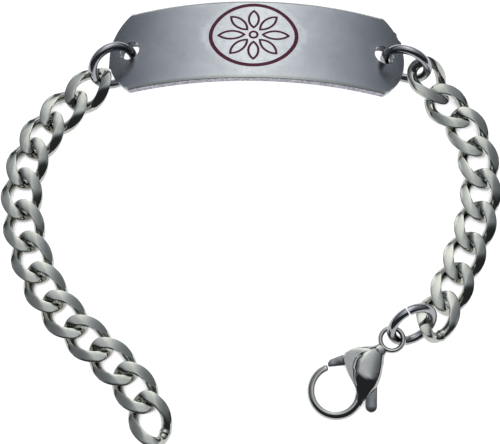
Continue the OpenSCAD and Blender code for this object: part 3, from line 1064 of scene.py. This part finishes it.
# %% Clasp in place
CLASP_AT = (13.496, -28.202, 1.5)
CLASP_TURN, CLASP_TIP_UP = math.radians(41.75), math.radians(7.0)
PIVOT, PIN_D, PIN_FIT, BORE_STEPS = (6.5, 1.0), 1.0, 0.01, 48
LEVER_T = 1.3
SLOT_T, HUB_SLOT_R, BORE_T, EYE_CUT_T = LEVER_T + 0.2, 1.7, LEVER_T + 1.9, 3.0
SLOT_LOOP = [(2.0, 4.8), (2.7, 4.45), (4.85, 3.6), (7.1, 2.55), (8.2, 1.2), (8.4, -3.0), (7.6, -7.5),
             (0.5, -7.5), (1.55, -5.1), (4.6, -2.05), (4.75, 0.3), (2.0, 0.3)]
clasp_mesh = carve("clasp_body", make_clasp_casting(), [
    ("UNION", make_eye()),
    ("DIFFERENCE", make_prism(circle_loop((EYE_X, 0.0), EYE_D / 2, EYE_STEPS), EYE_CUT_T)),
    ("DIFFERENCE", make_prism(SLOT_LOOP, SLOT_T)),
    ("DIFFERENCE", make_prism(circle_loop(PIVOT, HUB_SLOT_R, BORE_STEPS), SLOT_T)),
    ("DIFFERENCE", make_prism(circle_loop(PIVOT, PIN_D / 2 + PIN_FIT, BORE_STEPS), BORE_T))])
clasp_place = turned(CLASP_AT, [(CLASP_TURN, "Z"), (-CLASP_TIP_UP, "Y")])
place_piece(clasp_mesh, "lobster_clasp", [steels["clasp_polish"]], ["clasp_body"],
            clasp_place)
print("clasp faces:", len(clasp_mesh.polygons))

# %% [markdown]
# ## Lever
#
# The lever is stamped from flat stock, so it is one outline with a small soft edge: the gate in front, a
# round hub on the pin, and the tail that ends in the thumb tab. A thickened curve would round its inner
# corners wrongly, so the outline is shrunk for the flat faces, and a band joins it to the sides.

# %% Lever outline
TAB_AT, TAB_R, HUB_R_LEVER, LEVER_STEPS = (2.5, -5.6), 0.93, 1.5, 25
GATE = [(3.7, 2.15), (1.72, 3.6), (2.05, 4.1), (2.7, 4.25), (4.75, 3.45)]
TAIL, INNER = [(6.05, -3.2)], [(4.75, -2.05), (5.1, 0.75)]
CORNER_CUT = 0.1
hub = arc(PIVOT, HUB_R_LEVER, math.radians(70), math.radians(-42), LEVER_STEPS)
tab = arc(TAB_AT, TAB_R, math.radians(-42), math.radians(-224), LEVER_STEPS)
lever_plan = np.vstack((GATE, hub, TAIL, tab, INNER))[::-1]


def softened(loop, passes=2):
    """The loop with its corners cut, twice as many points each time."""
    near, far = 1 - CORNER_CUT, CORNER_CUT
    for _ in range(passes):
        after = np.roll(loop, -1, 0)
        loop = np.stack((loop * near + after * far, loop * far + after * near), 1).reshape(-1, 2)
    return loop


def shrunk(loop, distance):
    """The loop with its edges moved inwards."""
    along = np.roll(loop, -1, 0) - loop
    along /= np.linalg.norm(along, axis=1)[:, None]
    inward = np.c_[-along[:, 1], along[:, 0]]
    before = np.roll(inward, 1, 0)
    return loop + distance * (inward + before) / (1 + (inward * before).sum(1))[:, None]


def inside_loop(loop, x, y):
    """True for points inside a loop: a ray to the side crosses an odd number of edges."""
    inside = np.zeros(len(x), bool)
    for (ax, ay), (bx, by) in zip(loop, np.roll(loop, -1, 0)):
        if ay != by:
            crosses = ((ay > y) != (by > y)) & (x < ax + (y - ay) / (by - ay) * (bx - ax))
            inside ^= crosses
    return inside


print("points in the lever's outline:", len(softened(lever_plan)))

# %% [markdown]
# The lever turns, so it rides on a body of its own, in the clasp's place. Another pin could be made too, but
# the clasp hides it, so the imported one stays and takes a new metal.

# %% Lever and pin
STAMPED_EDGE, STAMPED_ANGLE = 0.11, math.radians(50)
LEVER_GRID, LEVER_BORE_R, LEVER_BORE_STEPS = 0.9, PIN_D / 2 + 0.05, 40


def make_lever_mesh():
    bm = bmesh.new()
    corner = corner_maker(bm, lambda x, y, depth: (x, y, -depth))
    outer, inner = softened(lever_plan), softened(shrunk(lever_plan, STAMPED_EDGE))
    bore = circle_loop(PIVOT, LEVER_BORE_R, LEVER_BORE_STEPS)
    sheet = fill_plan([inner, bore], LEVER_GRID, lambda x, y: inside_loop(inner, x, y)
                      & (np.hypot(x - PIVOT[0], y - PIVOT[1]) > LEVER_BORE_R))
    half = LEVER_T / 2
    lay(bm, corner, sheet, -half)
    lay(bm, corner, sheet, half)
    wall(bm, corner, inner, outer, -half, STAMPED_EDGE - half)
    wall(bm, corner, outer, outer, STAMPED_EDGE - half, half - STAMPED_EDGE)
    wall(bm, corner, outer, inner, half - STAMPED_EDGE, half)
    wall(bm, corner, bore, bore, -half, half)
    return finish_mesh(bm, "clasp_lever", STAMPED_ANGLE)


lever = place_piece(make_lever_mesh(), "thumb_lever", [steels["lever_satin"]],
                    ["clasp_lever"], clasp_place, body="lever")
pin = frame["nodes"]["clasp_pin"]
pin.data.materials.clear()
pin.data.materials.append(steels["ring_polish"])
print("lever faces:", len(lever.data.polygons))

# %% [markdown]
# ## Table
#
# The table is a white light table, so the bracelet throws only a faint shadow, and bright rims show where the
# steel mirrors it. A plain white surface would go grey under a small panel, so this one is given a glow, and
# ambient occlusion dims that glow right under the metal as a painted contact shadow.

# %% Table
TABLE_HALF, TABLE_DROP = 3.0, 0.00003
SHADE_REACH, SHADE_FROM, SHADE_TO = 0.0022, 0.10, 0.42
table_mesh = bpy.data.meshes.new("table")
around = ((-1, -1), (1, -1), (1, 1), (-1, 1))
table_mesh.from_pydata([(x * TABLE_HALF, y * TABLE_HALF, 0) for x, y in around], [], [(0, 1, 2, 3)])
table = add_object("table", table_mesh)
table.location.z = -TABLE_DROP
material, tree, shader = new_material("table_white", {
    "Base Color": (0.45, 0.45, 0.46, 1.0), "Roughness": 0.9, "Specular IOR Level": 0.0,
    "Emission Color": (0.99, 0.975, 1.0, 1.0)})
# ambient occlusion dims the table's glow near the metal: a painted contact shadow
painted_shadow_ao = add(tree, "AmbientOcclusion", {"Distance": SHADE_REACH}, samples=8)
glow_with_painted_shadow = remap(tree, painted_shadow_ao.outputs["AO"], SHADE_FROM, SHADE_TO)
tree.links.new(glow_with_painted_shadow, shader.inputs["Emission Strength"])
table_mesh.materials.append(material)
print("table:", tuple(round(size, 1) for size in table.dimensions), "m")

# %% [markdown]
# ## Light
#
# One big soft panel hangs behind and over the bracelet, with an edge that passes nearly overhead. An area
# lamp would show hard borders in every mirror, so the panel is painted on the world by direction. Flat faces
# mirror the panel, and whatever leans towards the viewer mirrors the dark room.

# %% Soft panel and room
PANEL_LIGHT, ROOM_LIGHT = 2.2, 0.045
# from, to, light at the first, light at the second
PANEL_FRONT, PANEL_BRIGHTER = (-0.34, -0.10, 0.0, 0.50), (0.0, 0.85, 0.0, 0.44)
PANEL_LOW = (0.15, 0.5, 0.0, 1.0)
PANEL_ASIDE, ASIDE_LEFT = 0.42, 0.22
ROOM_TINT, PANEL_TINT = (0.80, 0.86, 1.0), (1.0, 1.0, 0.97)
world = bpy.data.worlds.new("room")
bpy.context.scene.world = world
world.use_nodes = True
tree = world.node_tree
back = tree.nodes["Background"]
where = add(tree, "TexCoord")
way = add(tree, "SeparateXYZ", {0: where.outputs["Generated"]})
front_edge = remap(tree, way.outputs["Y"], *PANEL_FRONT, kind="SMOOTHSTEP")
brighter = remap(tree, way.outputs["Y"], *PANEL_BRIGHTER, kind="SMOOTHSTEP")
low_edge = remap(tree, way.outputs["Z"], *PANEL_LOW, kind="SMOOTHSTEP")
aside = maths(tree, "DIVIDE", way.outputs["X"], PANEL_ASIDE)
squared = maths(tree, "MULTIPLY", aside, aside)
falloff = maths(tree, "EXPONENT", maths(tree, "MULTIPLY", squared, -1.0))
middle = remap(tree, falloff, first=ASIDE_LEFT)
panel = maths(tree, "MULTIPLY", maths(tree, "ADD", front_edge, brighter), low_edge)
whole = maths(tree, "MULTIPLY", panel, middle)
strength = remap(tree, whole, first=ROOM_LIGHT, last=PANEL_LIGHT)
tree.links.new(strength, back.inputs["Strength"])
tree.links.new(mix_colours(tree, whole, ROOM_TINT, PANEL_TINT), back.inputs["Color"])
bpy.context.scene.view_settings.view_transform = "Standard"
print("light nodes:", len(tree.nodes))
